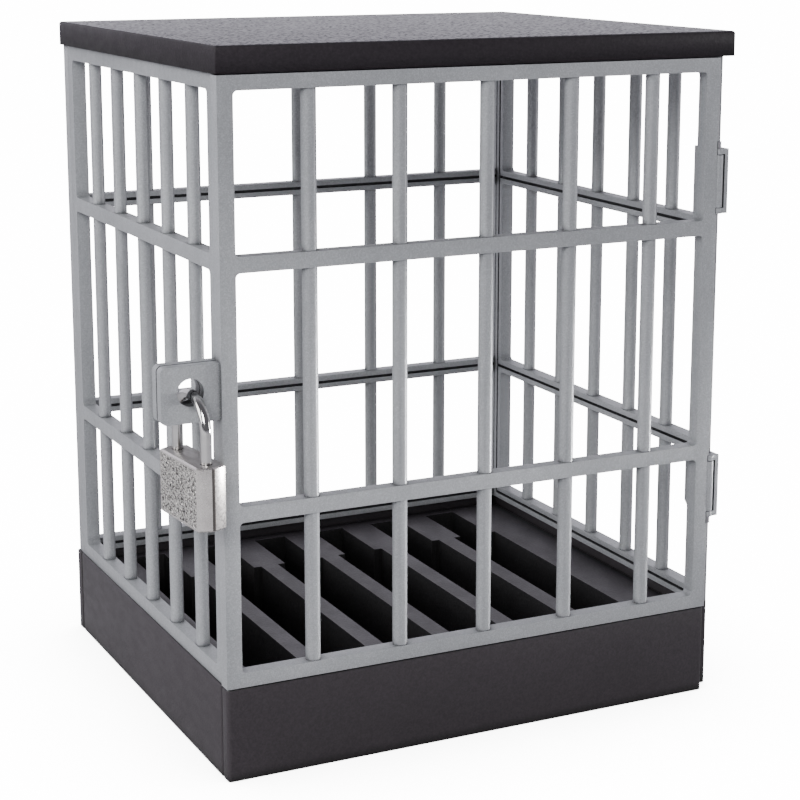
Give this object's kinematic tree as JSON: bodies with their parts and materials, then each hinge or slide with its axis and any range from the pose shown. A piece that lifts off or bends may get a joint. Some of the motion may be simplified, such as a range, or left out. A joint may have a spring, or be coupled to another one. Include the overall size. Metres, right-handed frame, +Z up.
{
  "type": "barred lock box for phones",
  "caption": "Barred cage with a slotted base, a slab roof and a hinged grille door shut by a small keyed padlock, for locking phones away.",
  "frame": {"origin": "centre of the rectangle that the base stands on, in the plane it stands on", "axes": "+Z up, -Y out of the door, +X towards the door's hinges and -X towards the padlock"},
  "size_m": [0.1653, 0.139, 0.188],
  "materials": {
    "dark_plastic": "matt",
    "rack_plastic": "matt",
    "roof_plastic": "fine brushed grain",
    "bar_plastic": "satin, silver grey",
    "pin_steel": "plain",
    "lock_metal": "nickel plate, pebbled on the large faces",
    "shackle_metal": "polished",
    "plug_brass": "machined"
  },
  "bodies": {
    "cage": {"base_front_plate": "dark_plastic", "base_back_plate": "dark_plastic", "base_left_plate": "dark_plastic", "base_right_plate": "dark_plastic", "phone_rack": "rack_plastic", "base_tray": "rack_plastic", "tray_screws": "pin_steel", "left_wall": "bar_plastic", "right_wall": "bar_plastic", "back_wall": "bar_plastic", "roof": "roof_plastic", "hinge_pin_upper": "pin_steel", "hinge_pin_lower": "pin_steel"},
    "door": {"door": "bar_plastic"},
    "shackle": {"shackle": "shackle_metal"},
    "padlock": {"padlock_body": "lock_metal", "latch_spring": "pin_steel", "driver_pins": "plug_brass", "pin_springs": "pin_steel", "chamber_caps": "lock_metal", "retaining_pins": "pin_steel"},
    "plug": {"key_plug": "plug_brass", "key_pins": "plug_brass"},
    "latch": {"latch_bolt": "plug_brass"}
  },
  "joints": [
    {"name": "door_swing", "type": "hinge", "parent": "cage", "child": "door", "pos_m": [0.07135, -0.064, 0.1], "axis": [0, 0, 1], "range_deg": [0, 105]},
    {"name": "padlock_swing", "type": "hinge", "parent": "door", "child": "shackle", "pos_m": [-0.08165, -0.0615, 0.1028], "axis": [-0.0785, 0.9969, 0], "range_deg": [-4, 75]},
    {"name": "padlock_release", "type": "slide", "parent": "shackle", "child": "padlock", "axis": [0, 0, -1], "range_m": [0, 0.0066]},
    {"name": "plug_turn", "type": "hinge", "parent": "padlock", "child": "plug", "pos_m": [-0.08157, -0.0625, 0.0706], "axis": [0, 0, 1], "range_deg": [0, 90]},
    {"name": "latch_draw", "type": "slide", "parent": "padlock", "child": "latch", "axis": [0.0785, -0.9969, 0], "range_m": [0, 0.00165], "deforming": ["latch_spring"]}
  ],
  "couplings": [
    {"joint": "plug_turn", "follows": "padlock_release", "rad_per_m": 238},
    {"joint": "latch_draw", "follows": "padlock_release", "ratio": 0.25}
  ]
}
